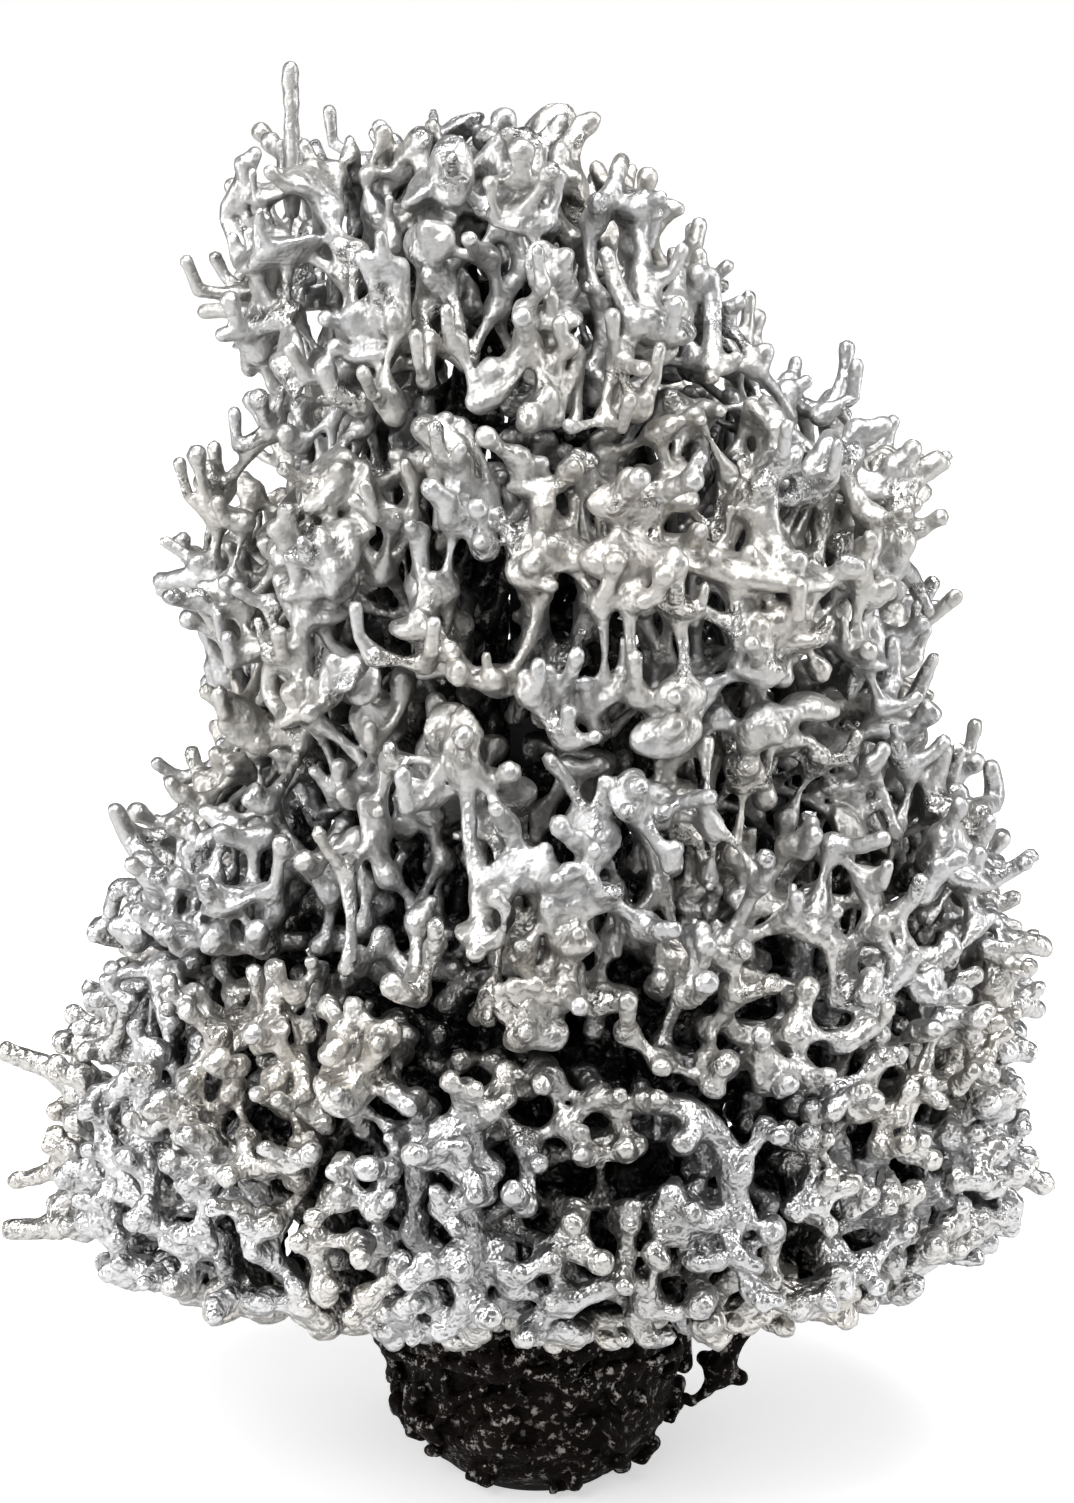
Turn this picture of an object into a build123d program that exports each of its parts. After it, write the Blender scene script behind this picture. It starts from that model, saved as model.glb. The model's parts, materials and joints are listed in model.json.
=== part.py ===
from build123d import *

"""Magnetic desk sculpture: a coral-like tower of loose cast aluminium pieces round a steel core.

A dark rounded foot carries a hexagonal steel core with a flat bar on top.  Fifteen branching
castings cling to the core and the bar, each by a disc magnet in its root: six in the wide skirt,
three in the waist, three in the shoulder and three in the crown.  A plain needle stands in the crown.

Frame: millimetres, +Z up, front towards -Y, origin at the centre of the foot pad's underside.
A heading is an angle seen from above that starts at the front and turns towards +X.
"""
import math
import os
import random
from typing import NamedTuple

FIT = 0.15                        # clearance of parts that are set into or stand on others
SKIM = 0.02                       # hair's breadth between faces that rest on each other

# ---- foot ------------------------------------------------------------------------------------
PAD_R, PAD_T = 21.0, 2.0
PLATE_R, PLATE_T = 23.0, 4.0
CAVITY_R, CAVITY_TOP = 23.3, 46.0
FOOT_TOP = 60.0                   # deck that the core stands on
FOOT_PROFILE = ((27.0, PAD_T), (35.2, 14.0), (39.5, 32.0), (39.5, 46.0), (37.0, FOOT_TOP))
BALLAST_R, BALLAST_LOW, BALLAST_T = 22.9, PAD_T + PLATE_T + 0.3, 22.0
SCREW_COUNT, SCREW_PITCH_R, SCREW_R, SCREW_DEPTH = 3, 19.0, 1.5, 9.0
SCREW_HEAD_R, SCREW_HEAD_T = 2.6, 1.6

# ---- dark ring and twig at the foot ----------------------------------------------------------
COLLAR_R, COLLAR_Z, COLLAR_SWING, COLLAR_KNOTS = 46.5, 50.5, 4.5, 14
COLLAR_BRANCH_R, COLLAR_KNOT_R = 2.6, 4.4
TWIG_BRANCH_R = 1.5
TWIG = (                          # x, y, z and knot radius down the twig
    (50.1, -1.0, 50.0, 2.0),
    (56.0, -4.0, 46.0, 2.4),
    (50.0, -5.0, 40.0, 3.0),
    (52.0, -6.0, 33.0, 4.6),
    (46.0, -5.0, 29.0, 3.2),
    (42.5, -5.0, 22.0, 2.2),
)

# ---- core ------------------------------------------------------------------------------------
LOWER_FLATS, LOWER_TOP, LOWER_SPIGOT_R = 27.0, 160.0, 8.0
UPPER_FLATS, UPPER_TOP, UPPER_SPIGOT_R, UPPER_SPIGOT_L = 14.0, 284.0, 4.5, 14.0
BOLT_R, BOLT_HEAD_FLATS, BOLT_HEAD_T, BOLT_LENGTH = 4.0, 13.0, 5.3, 29.0
WASHER_R, WASHER_T = 15.0, 3.0
BAR_X, BAR_LENGTH, BAR_WIDTH, BAR_T = -16.0, 90.0, 12.0, 3.0
BAR_SCREW_R, BAR_SCREW_DEPTH, BAR_SCREW_HEAD_R, BAR_SCREW_HEAD_T = 2.0, 12.0, 3.5, 2.2
HOLE_END = 1.0                    # how far a hole runs on past the screw in it

# ---- castings --------------------------------------------------------------------------------
GAP = 0.8                         # each casting keeps this far inside its own space
PITCH, BRANCH_R, KNOT_R = 19.5, 2.8, 4.6
CROWN_PITCH, CROWN_BRANCH_R, CROWN_KNOT_R = 12.5, 2.3, 3.9
TIP_R, TIP_BRANCH_SHARE = 3.4, 0.9
WOBBLE = 2.4                      # how far a branch joint strays from an even lattice
EXTRA_LINKS = 0.45                # share of the links beyond the tree that holds a casting together
SKIN = 10.0                       # joints stay this far inside the outline and send tips out to it
CROWN_SKIN, CROWN_TIP_OUT = 6.0, 4.0
TIP_REACH = 1.3                   # longest tip, in lattice pitches
SEED_NAMES = {"waist_left": "waist_left_b"}  # castings grown from another name than their own
SKIRT_LOW, CROWN_TOP = 60.0, 368.0
BAR_SPACE = 13.0                  # the bar's space reaches this far to the front and back
UNDER_BAR, OVER_BAR, BESIDE_BAR = 282.0, 289.0, 299.0  # where shoulder ends and crown begins
SKIRT_HEADINGS = {
    "front": 0, "front_right": 60, "back_right": 120,
    "back": 180, "back_left": 240, "front_left": 300,
}
TIER_HEADINGS = {"front_right": 30, "back": 150, "left": 270}
SKIRT_HALF_ANGLE, TIER_HALF_ANGLE = 30.0, 60.0
SKIRT_TOP = {30: 150.0, 150: 142.0, 270: 158.0}       # by the heading of the third they lie in
WAIST_TOP = {30: 226.0, 150: 214.0, 270: 206.0}
CROWN_SPLITS = (-38.0, 6.0)       # the two upright planes between the three crown castings
CROWN_ROOT_X = {"left": -54.0, "centre": -16.0, "right": 22.0}
NEEDLE_X, NEEDLE_FOOT, NEEDLE_TOP = -62.0, 340.0, 380.0
NEEDLE_R, NEEDLE_TIP_R, SOCKET_R, SOCKET_ARM_R = 2.3, 1.7, 6.0, 3.4

# Half-widths of the whole tower to the left, to the right and in depth, by height.
OUTLINE = (
    (58, 104, 100, 98),
    (66, 116, 112, 106),
    (76, 129, 127, 116),
    (95, 127, 127, 118),
    (118, 124, 125, 117),
    (150, 110, 124, 110),
    (175, 103, 117, 102),
    (192, 92, 112, 95),
    (207, 82, 99, 90),
    (230, 84, 96, 86),
    (250, 88, 95, 82),
    (272, 82, 97, 76),
    (284, 73, 93, 70),
    (294, 66, 74, 64),
    (310, 74, 50, 58),
    (330, 78, 36, 50),
    (346, 74, 28, 42),
    (358, 55, 16, 30),
    (368, 40, 8, 20),
)


class Root(NamedTuple):
    """Where a casting seats on the steel: a round boss that holds a disc magnet."""

    seat: float                   # distance of the steel's face along the casting's way out
    reach: float                  # distance of the knot at the boss's other end
    boss_r: float
    knot_r: float
    magnet_r: float
    magnet_t: float


SKIRT_ROOT = Root(LOWER_FLATS / 2, 29.0, 7.7, 8.6, 6.0, 5.0)
TIER_ROOT = Root(UPPER_FLATS / 2, 24.0, 5.6, 6.6, 4.0, 3.0)
CROWN_ROOT = Root(UPPER_TOP + BAR_T, UPPER_TOP + BAR_T + 14, 5.6, 6.4, 4.0, 3.0)
UP = Vector(0, 0, 1)


# ---- small helpers ---------------------------------------------------------------------------
def heading_vector(heading):
    angle = math.radians(heading)
    return Vector(math.sin(angle), -math.cos(angle), 0)


def heading_of(point):
    return math.degrees(math.atan2(point.X, -point.Y))


def around(count, radius):
    return [heading_vector(360 * i / count) * radius for i in range(count)]


def disc(radius, low, high, x=0.0, y=0.0):
    return Solid.make_cylinder(radius, high - low, Plane(origin=(x, y, low)))


def rod(start, end, radius):
    along = end - start
    return Solid.make_cylinder(radius, along.length, Plane(origin=start, z_dir=along.normalized()))


def knot(centre, radius, branch_end):
    """A ball whose axis lies along one of its branches, so that the branch covers its pole."""
    plane = Plane(origin=centre, z_dir=(branch_end - centre).normalized())
    return Solid.make_sphere(radius, plane, -90, 90, 360)


def hexagon_bar(flats, low, high, turn):
    """A hexagonal bar; turn is the heading of one of its flats."""
    corner = flats / math.sqrt(3)
    points = [heading_vector(turn + 30 + 60 * i) * corner for i in range(6)]
    face = Face(Wire.make_polygon(points, close=True))
    return extrude(face, high - low, dir=(0, 0, 1)).solid().moved(Location((0, 0, low)))


def tower_radius(point):
    """Distance from the axis to the tower's outline at a point's heading and height."""
    z = min(max(point.Z, OUTLINE[0][0]), OUTLINE[-1][0])
    for low, high in zip(OUTLINE, OUTLINE[1:]):
        if z <= high[0]:
            break
    share = (z - low[0]) / (high[0] - low[0])
    left, right, depth = (a + (b - a) * share for a, b in zip(low[1:], high[1:]))
    angle = math.radians(heading_of(point))
    side = right if point.X > 0 else left
    return 1 / math.hypot(math.sin(angle) / side, math.cos(angle) / depth)


def flat_part(point):
    return Vector(point.X, point.Y, 0)


# ---- branching castings ----------------------------------------------------------------------
def linked(knots, candidates, rng):
    """A random tree over the knots that the root reaches, plus a share of the spare links."""
    group = {key: key for key in knots}

    def top(key):
        while group[key] != key:
            key = group[key]
        return key

    links = []
    for _, a, b in sorted((rng.random() * weight, a, b) for weight, a, b in candidates):
        if top(a) != top(b):
            group[top(a)] = top(b)
            links.append((a, b))
        elif rng.random() < EXTRA_LINKS:
            links.append((a, b))
    return [link for link in links if top(link[0]) == top("root")]


def lattice_links(knots):
    """Every pair of neighbouring knots; upright links weigh least, so the tree prefers them."""
    candidates = []
    for key in knots:
        i, j, k = (0, 0, 0) if key == "root" else key
        for (di, dj, dk), weight in (((1, 0, 0), 1.0), ((0, 1, 0), 0.9), ((0, 0, 1), 0.6)):
            for sign in (1, -1) if key == "root" else (1,):
                other = (i + sign * di, j + sign * dj, k + sign * dk)
                if other in knots:
                    candidates.append((weight, key, other))
    return candidates


def grow(seed, grid_point, steps, allowed, outward, branch_r, knot_r):
    """One coral casting: knots on a wobbly lattice, branches between them and tips outside."""
    rng = random.Random(SEED_NAMES.get(seed, seed))
    knots = {"root": grid_point(0, 0, 0)}
    for key in steps:
        shift = Vector(*(rng.uniform(-WOBBLE, WOBBLE) for _ in range(3)))
        point = grid_point(*key) + shift
        if key != (0, 0, 0) and allowed(point, knot_r + GAP):
            knots[key] = point
    neighbour, solids = {}, []
    for a, b in linked(knots, lattice_links(knots), rng):
        neighbour[a], neighbour[b] = b, a
        solids.append(rod(knots[a], knots[b], branch_r))
    for key, near in neighbour.items():
        if key == "root":
            continue
        solids.append(knot(knots[key], knot_r, knots[near]))
        tip = outward(knots[key], rng)
        if tip is not None and allowed(tip, TIP_R + GAP, True):
            solids.append(rod(knots[key], tip, branch_r * TIP_BRANCH_SHARE))
            solids.append(knot(tip, TIP_R, knots[key]))
    return solids


def largest(shape):
    return shape.solids().sort_by(SortBy.VOLUME)[-1]


def rooted(solids, root, root_point, direction):
    """Fuses a casting to its root boss and cuts the magnet's pocket."""
    steel = root_point - direction * (root.reach - root.seat)
    foot = steel + direction * FIT
    boss = rod(foot, root_point, root.boss_r)
    casting = knot(root_point, root.knot_r, foot).fuse(boss, *solids)
    pocket_end = foot + direction * (root.magnet_t + FIT)
    casting = casting - rod(steel - direction, pocket_end, root.magnet_r + FIT)
    magnet = rod(foot, foot + direction * root.magnet_t, root.magnet_r)
    return largest(casting), magnet


def sector(name, heading, half_angle, low, high, root, core_corner):
    """A casting that fills a wedge of the tower and pulls off along its heading."""
    out, side = heading_vector(heading), heading_vector(heading + 90)
    inset = KNOT_R + GAP + WOBBLE
    count = max(2, round((high - low - 2 * inset) / PITCH))
    rise = (high - low - 2 * inset) / count
    below = count // 2
    root_point = out * root.reach + UP * (low + inset + rise * below)
    lean = math.radians(half_angle)

    def grid_point(i, j, k):
        return root_point + out * (PITCH * i) + side * (PITCH * j) + UP * (rise * k)

    def allowed(point, margin, is_tip=False):
        flat = flat_part(point)
        if flat.dot(out) * math.sin(lean) - abs(flat.dot(side)) * math.cos(lean) < margin:
            return False
        beside_bar = abs(point.Y) > BAR_SPACE + margin
        ceiling = high if beside_bar else min(high, UNDER_BAR)
        if not low + margin <= point.Z <= ceiling - margin or flat.length < core_corner + margin:
            return False
        return is_tip or flat.length < tower_radius(point) - SKIN

    def outward(point, rng):
        flat = flat_part(point)
        reach = tower_radius(point) + rng.uniform(-2, 3) - flat.length
        if reach > PITCH * TIP_REACH:
            return None
        return point + flat.normalized() * reach + UP * rng.uniform(-7, 7)

    steps = [
        (i, j, k)
        for i in range(0, 6)
        for j in range(-5, 6)
        for k in range(-below, count - below + 1)
    ]
    solids = grow(name, grid_point, steps, allowed, outward, BRANCH_R, KNOT_R)
    return rooted(solids, root, root_point, out)


def crown(name, low_x, high_x):
    """A casting that stands on the bar at the top and lifts off."""
    root_point = Vector(CROWN_ROOT_X[name], 0, CROWN_ROOT.reach)

    def grid_point(i, j, k):
        return root_point + Vector(i, j, k) * CROWN_PITCH

    def allowed(point, margin, is_tip=False):
        over_bar = abs(point.Y) < BAR_SPACE - margin
        floor = OVER_BAR if over_bar else BESIDE_BAR
        if not low_x + margin <= point.X <= high_x - margin or point.Z < floor + margin:
            return False
        skin = -CROWN_TIP_OUT if is_tip else CROWN_SKIN
        return flat_part(point).length < tower_radius(point) - skin and point.Z < CROWN_TOP - skin

    def outward(point, rng):
        flat = flat_part(point)
        if tower_radius(point) - flat.length > CROWN_PITCH * TIP_REACH:
            return None
        return point + flat.normalized() * rng.uniform(5, 8) + UP * rng.uniform(6, 9)

    steps = [(i, j, k) for i in range(-3, 4) for j in range(-4, 5) for k in range(0, 5)]
    solids = grow(
        "crown_" + name, grid_point, steps, allowed, outward, CROWN_BRANCH_R, CROWN_KNOT_R
    )
    if name == "left":
        socket = Vector(NEEDLE_X, 0, NEEDLE_FOOT)
        solids += [rod(root_point, socket, SOCKET_ARM_R), knot(socket, SOCKET_R, root_point)]
    casting, magnet = rooted(solids, CROWN_ROOT, root_point, UP)
    if name == "left":
        hole = disc(NEEDLE_R + FIT, NEEDLE_FOOT - FIT, NEEDLE_TOP + HOLE_END, NEEDLE_X)
        casting = largest(casting - hole)
    return casting, magnet


def third_of(heading):
    """The heading of the tower's third that a skirt casting lies in."""
    return min(TIER_HEADINGS.values(), key=lambda h: abs((heading - h + 180) % 360 - 180))


def castings():
    """Each casting and its magnet, by name."""
    lower_corner, upper_corner = LOWER_FLATS / math.sqrt(3), UPPER_FLATS / math.sqrt(3)
    found = {}
    for name, heading in SKIRT_HEADINGS.items():
        top = SKIRT_TOP[third_of(heading)]
        found["skirt_" + name] = sector(
            "skirt_" + name, heading, SKIRT_HALF_ANGLE, SKIRT_LOW, top, SKIRT_ROOT, lower_corner
        )
    for name, heading in TIER_HEADINGS.items():
        low, middle = SKIRT_TOP[heading], WAIST_TOP[heading]
        found["waist_" + name] = sector(
            "waist_" + name, heading, TIER_HALF_ANGLE, low, middle, TIER_ROOT, lower_corner
        )
        found["shoulder_" + name] = sector(
            "shoulder_" + name, heading, TIER_HALF_ANGLE, middle, BESIDE_BAR, TIER_ROOT, upper_corner
        )
    far = BAR_LENGTH * 2
    edges = (-far, *CROWN_SPLITS, far)
    for name, low_x, high_x in zip(CROWN_ROOT_X, edges, edges[1:]):
        found["crown_" + name] = crown(name, low_x, high_x)
    return found


def needle():
    """The thin upright rod that is the tower's highest point."""
    foot = Vector(NEEDLE_X, 0, NEEDLE_FOOT)
    tip = Vector(NEEDLE_X, 0, NEEDLE_TOP - NEEDLE_TIP_R)
    shaft = Solid.make_cone(NEEDLE_R, NEEDLE_TIP_R * 0.94, (tip - foot).length, Plane(origin=foot))
    return shaft.fuse(knot(tip, NEEDLE_TIP_R, foot)).solid()


# ---- foot and core ---------------------------------------------------------------------------
def foot_shell():
    """The rounded foot: a bowl outside, a plain bore for the ballast inside."""
    hole_r = LOWER_SPIGOT_R + FIT
    inside = [(hole_r, FOOT_TOP), (hole_r, CAVITY_TOP), (CAVITY_R, CAVITY_TOP), (CAVITY_R, PAD_T)]
    with BuildPart() as shell:
        with BuildSketch(Plane.XZ):
            with BuildLine():
                Polyline(FOOT_PROFILE[-1], *inside, FOOT_PROFILE[0])
                Spline(*FOOT_PROFILE)
            make_face()
        revolve(axis=Axis.Z)
    return shell.part.solid()


def foot_parts():
    """The foot, its pad, the plate and ballast inside and the three screws that hold them."""
    plate_low, plate_top = PAD_T + FIT, PAD_T + PLATE_T
    head_top, screw_top = plate_low + SCREW_HEAD_T, BALLAST_LOW + SCREW_DEPTH
    plate = disc(PLATE_R, plate_low, plate_top)
    ballast = disc(BALLAST_R, BALLAST_LOW, BALLAST_LOW + BALLAST_T)
    screws = []
    for spot in around(SCREW_COUNT, SCREW_PITCH_R):
        head = disc(SCREW_HEAD_R, plate_low, head_top, spot.X, spot.Y)
        screws.append(head.fuse(disc(SCREW_R, plate_low, screw_top, spot.X, spot.Y)))
        hole = disc(SCREW_R + FIT, 0, screw_top + HOLE_END, spot.X, spot.Y)
        plate -= disc(SCREW_HEAD_R + FIT, 0, head_top + FIT, spot.X, spot.Y)
        plate -= hole
        ballast -= hole
    return {
        "foot_shell": foot_shell(),
        "foot_pad": disc(PAD_R, 0, PAD_T),
        "base_plate": plate.solid(),
        "ballast": ballast.solid(),
        "plate_screws": Compound(children=screws),
    }


def lower_core(bolt_top):
    core = hexagon_bar(LOWER_FLATS, FOOT_TOP, LOWER_TOP, 0)
    core = core.fuse(disc(LOWER_SPIGOT_R, CAVITY_TOP + HOLE_END, FOOT_TOP))
    core -= disc(BOLT_R + FIT, CAVITY_TOP, bolt_top + HOLE_END)
    socket_low = LOWER_TOP - UPPER_SPIGOT_L - HOLE_END
    return core - disc(UPPER_SPIGOT_R + FIT, socket_low, LOWER_TOP)


def top_bar():
    with BuildPart() as bar:
        with BuildSketch(Plane((BAR_X, 0, UPPER_TOP))):
            SlotOverall(BAR_LENGTH, BAR_WIDTH)
        extrude(amount=BAR_T)
    return bar.part.solid() - disc(BAR_SCREW_R + FIT, UPPER_TOP, UPPER_TOP + BAR_T)


def core_parts():
    """The steel the castings cling to, with its bolt, washer and screw."""
    head_top = CAVITY_TOP - WASHER_T - 2 * SKIM
    bolt_top = head_top + BOLT_LENGTH
    bolt = hexagon_bar(BOLT_HEAD_FLATS, head_top - BOLT_HEAD_T, head_top, 0)
    washer = disc(WASHER_R, head_top + SKIM, CAVITY_TOP - SKIM)
    bar_top = UPPER_TOP + BAR_T
    screw_low = bar_top - BAR_SCREW_DEPTH
    upper = hexagon_bar(UPPER_FLATS, LOWER_TOP, UPPER_TOP, 30)
    upper = upper.fuse(disc(UPPER_SPIGOT_R, LOWER_TOP - UPPER_SPIGOT_L, LOWER_TOP))
    screw_head = disc(BAR_SCREW_HEAD_R, bar_top + SKIM, bar_top + SKIM + BAR_SCREW_HEAD_T)
    return {
        "lower_core": lower_core(bolt_top).solid(),
        "upper_core": (upper - disc(BAR_SCREW_R + FIT, screw_low - HOLE_END, UPPER_TOP)).solid(),
        "top_bar": top_bar().solid(),
        "core_bolt": bolt.fuse(disc(BOLT_R, head_top, bolt_top)).solid(),
        "core_washer": (washer - disc(BOLT_R + FIT, head_top, CAVITY_TOP)).solid(),
        "bar_screw": screw_head.fuse(disc(BAR_SCREW_R, screw_low, bar_top + SKIM)).solid(),
    }


def foot_collar():
    """A dark ring of short branches that sits round the foot's neck."""
    joints = []
    for i, spot in enumerate(around(COLLAR_KNOTS, COLLAR_R)):
        joints.append(spot + UP * (COLLAR_Z + COLLAR_SWING * (-1) ** i))
    following = joints[1:] + joints[:1]
    branches = [rod(a, b, COLLAR_BRANCH_R) for a, b in zip(joints, following)]
    knots = [knot(a, COLLAR_KNOT_R, b) for a, b in zip(joints, following)]
    return knots[0].fuse(*knots[1:], *branches).solid()


def hanging_twig():
    """The dark twig that hangs from the ring beside the foot on the right."""
    joints = [Vector(x, y, z) for x, y, z, _ in TWIG]
    following = joints[1:] + joints[-2:-1]
    branches = [rod(a, b, TWIG_BRANCH_R) for a, b in zip(joints, joints[1:])]
    knots = [knot(a, entry[3], b) for a, b, entry in zip(joints, following, TWIG)]
    return knots[0].fuse(*knots[1:], *branches).solid()


def main():
    os.makedirs("parts", exist_ok=True)
    parts = {**foot_parts(), **core_parts()}
    parts["foot_collar"], parts["hanging_twig"] = foot_collar(), hanging_twig()
    parts["needle"] = needle()
    for name, (casting, magnet) in castings().items():
        parts[name], parts[name + "_magnet"] = casting, magnet
    for name, shape in parts.items():
        export_step(shape, f"parts/{name}.step")


main()
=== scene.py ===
"""Looks for the magnetic desk sculpture: fifteen coral-like castings on a steel core and a dark foot.

Each casting is grown as a network of branches, fingers and pads inside the space that its CAD
casting holds, blended into one distance field and turned into a mesh.  Lengths are millimetres
until a mesh is made; the frame itself is in metres.
"""

import json
import math

import bpy
import numpy as np
import openvdb
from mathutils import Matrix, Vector


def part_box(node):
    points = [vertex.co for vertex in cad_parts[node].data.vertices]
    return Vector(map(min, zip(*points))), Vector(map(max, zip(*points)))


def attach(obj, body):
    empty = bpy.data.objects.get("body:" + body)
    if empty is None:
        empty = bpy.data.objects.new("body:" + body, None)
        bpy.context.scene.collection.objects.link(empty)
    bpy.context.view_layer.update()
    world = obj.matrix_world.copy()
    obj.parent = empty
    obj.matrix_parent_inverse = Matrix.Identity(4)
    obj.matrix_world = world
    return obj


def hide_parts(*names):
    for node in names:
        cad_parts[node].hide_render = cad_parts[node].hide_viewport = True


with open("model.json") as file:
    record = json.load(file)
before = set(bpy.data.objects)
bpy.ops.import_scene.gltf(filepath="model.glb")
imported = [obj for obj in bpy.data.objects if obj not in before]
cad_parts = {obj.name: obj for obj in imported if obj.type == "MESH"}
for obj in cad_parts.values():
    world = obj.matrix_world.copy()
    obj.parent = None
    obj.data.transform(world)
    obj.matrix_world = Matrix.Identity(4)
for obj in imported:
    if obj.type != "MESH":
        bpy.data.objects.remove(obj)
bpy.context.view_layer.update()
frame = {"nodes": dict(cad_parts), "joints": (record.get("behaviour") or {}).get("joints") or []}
MM = 1000.0                       # millimetres in a metre
UP = np.array((0.0, 0.0, 1.0))
VOXELS = {"skirt": 1.27, "waist": 1.27, "shoulder": 1.19, "crown": 1.0}    # for each tier
FINE_VOXEL = 0.8                  # for the foot, its ring, the twig and the needle
CURVE_POINTS = 9                  # points along a smooth finger or rod
REACH = 4.4                       # a branch is felt this far beyond its skin
CREVICE_REACH = 2.2               # metal within this distance makes a spot a crevice
GAP = 0.3                         # each casting stays this far inside its own space
TIERS = {
    "skirt": ("front", "front_right", "back_right", "back", "back_left", "front_left"),
    "waist": ("front_right", "back", "left"),
    "shoulder": ("front_right", "back", "left"),
    "crown": ("left", "centre", "right"),
}


def put(name, data):
    """A new object in the scene, from its mesh, light or camera data."""
    thing = bpy.data.objects.new(name, data)
    bpy.context.scene.collection.objects.link(thing)
    return thing


# ---- reading the frame -----------------------------------------------------------------------
def box_mm(node):
    low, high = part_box(node)
    return np.array(low) * MM, np.array(high) * MM


def joint_axis(body):
    axis = next(j["axis"] for j in frame["joints"] if j["child"] == body)
    return np.array(axis, float)


def break_height(lower, upper):
    """The height halfway between the top of one casting and the bottom of the one above."""
    return (box_mm(lower)[1][2] + box_mm(upper)[0][2]) / 2


def by_height(*pairs):
    """A function of height that runs straight from each (height, value) pair to the next."""
    heights, values = zip(*pairs)
    return lambda z: np.interp(z, heights, values)


FOOT_LOW, FOOT_HIGH = box_mm("foot_shell")
BAR_LOW, BAR_HIGH = box_mm("top_bar")
HEXAGON_CORNER = 1.16             # corner radius over flat radius, and a hair more
LOWER_CORE_R = box_mm("lower_core")[1][0] * HEXAGON_CORNER
UPPER_CORE_R = box_mm("upper_core")[1][1] * HEXAGON_CORNER
CEILING = box_mm("needle")[1][2] - 12.0    # only the needle rises above this
BAR_SPACE = BAR_HIGH[1] + 7.0     # the bar's space reaches this far to the front and back
UNDER_BAR, OVER_BAR = 1.5, 0.5    # room left free under and over the bar
BESIDE_BAR = BAR_HIGH[2] + 12.0   # shoulder castings rise this high beside the bar

# Half-widths of the tower to the left, to the right and in depth, by height.
LEFT = by_height((58, 104), (66, 116), (76, 130), (95, 127), (118, 124), (150, 110), (175, 103),
                 (192, 92), (207, 82), (230, 86), (250, 90), (272, 84), (284, 74), (294, 66),
                 (310, 75), (330, 79), (346, 76), (358, 58), (368, 40))
RIGHT = by_height((58, 100), (66, 112), (76, 128), (95, 128), (118, 126), (150, 127), (175, 120),
                  (192, 116), (207, 99), (230, 96), (250, 97), (272, 100), (284, 94), (294, 76),
                  (310, 52), (330, 37), (346, 29), (358, 17), (368, 8))
DEPTH = by_height((58, 58), (64, 70), (70, 84), (76, 98), (84, 111), (95, 117), (118, 117),
                  (150, 110), (175, 102), (207, 90), (250, 82), (284, 70), (310, 58), (346, 42),
                  (368, 20))
OUTLINE_LOW, OUTLINE_HIGH = 58.0, 368.0
SKIRT_FLOOR = OUTLINE_LOW - 1.0


def tower_radius(points):
    """Distance from the axis to the tower's outline at each point's heading and height."""
    x, y, z = points.T
    tiny = 1e-6
    flat = np.maximum(np.hypot(x, y), tiny)
    x = np.where(flat > tiny, x, tiny)
    side = np.where(x > 0, RIGHT(z), LEFT(z))
    return 1 / np.hypot(x / flat / side, y / flat / DEPTH(z))


def depth_below(points):
    """How deep each point lies below the tower's outline."""
    return tower_radius(points) - np.hypot(points[:, 0], points[:, 1])


# ---- the space of each casting ---------------------------------------------------------------
PULLED_IN = 6.5                   # joints this far outside a casting's space are still moved in

# True distance to a wavy surface, as a share of the distance straight across it.
WEDGE_SLANT, SEAM_SLANT, BESIDE_BAR_SLANT, CURTAIN_SLANT = 0.84, 0.8, 0.75, 0.78


class Zone:
    """The space one casting may fill.  Each side is a function of x, y and z that gives the
    distance inside that side, so that a casting's neighbours slide past it without touching."""

    def __init__(self, name, sides, core_r=0.0):
        self.name, self.sides, self.core_r = name, sides, core_r

    def clearance(self, points):
        """Distance of each point inside the zone's nearest side; negative outside."""
        x, y, z = points.T
        room = np.hypot(x, y) - self.core_r
        for side in self.sides:
            room = np.minimum(room, side(x, y, z))
        return room

    def pushed_inside(self, points, need):
        """The points, those near a side moved to be need inside it and those far out dropped."""
        points, need = points.copy(), np.broadcast_to(need, len(points))
        nudge, least_slope, spare, enough = 0.1, 0.1, 0.05, 0.9
        for _ in range(4):
            room = self.clearance(points)
            near = (room < need) & (room > -PULLED_IN)
            slope = [(self.clearance(points[near] + step) - room[near]) / nudge
                     for step in np.eye(3) * nudge]
            slope = np.stack(slope, 1)
            slope /= np.maximum((slope ** 2).sum(1), least_slope)[:, None]
            points[near] += slope * (need[near] - room[near] + spare)[:, None]
        return points[self.clearance(points) > need * enough]


def heading_vector(heading):
    return np.array((math.sin(heading), -math.cos(heading)))


def wedge_sides(out, half_angle):
    """The two upright sides of a wedge.  Each is a wavy sheet that its neighbour shares, never
    so steep that it would catch a casting which slides straight out."""
    heading = math.atan2(out[0], -out[1])
    sides = []
    for sign in (-1, 1):
        along = heading_vector(heading + sign * half_angle)
        over = heading_vector(heading + sign * half_angle + math.pi / 2)

        def side(x, y, z, along=along, over=over, sign=sign):
            out_there = x * along[0] + y * along[1]
            wave = 4.5 * np.sin(z / 8.0 + 4 * along[0]) + 2.6 * np.sin(out_there / 8.5)
            # the sheet is flat near the core and waves fully from 79 mm outwards
            fade = np.clip((out_there - 34) / 45, 0, 1)
            return -sign * (x * over[0] + y * over[1] - wave * fade) * WEDGE_SLANT

        sides.append(side)
    return sides


def sideways(out):
    side = np.cross(UP, out)
    return lambda x, y: x * side[0] + y * side[1]


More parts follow.
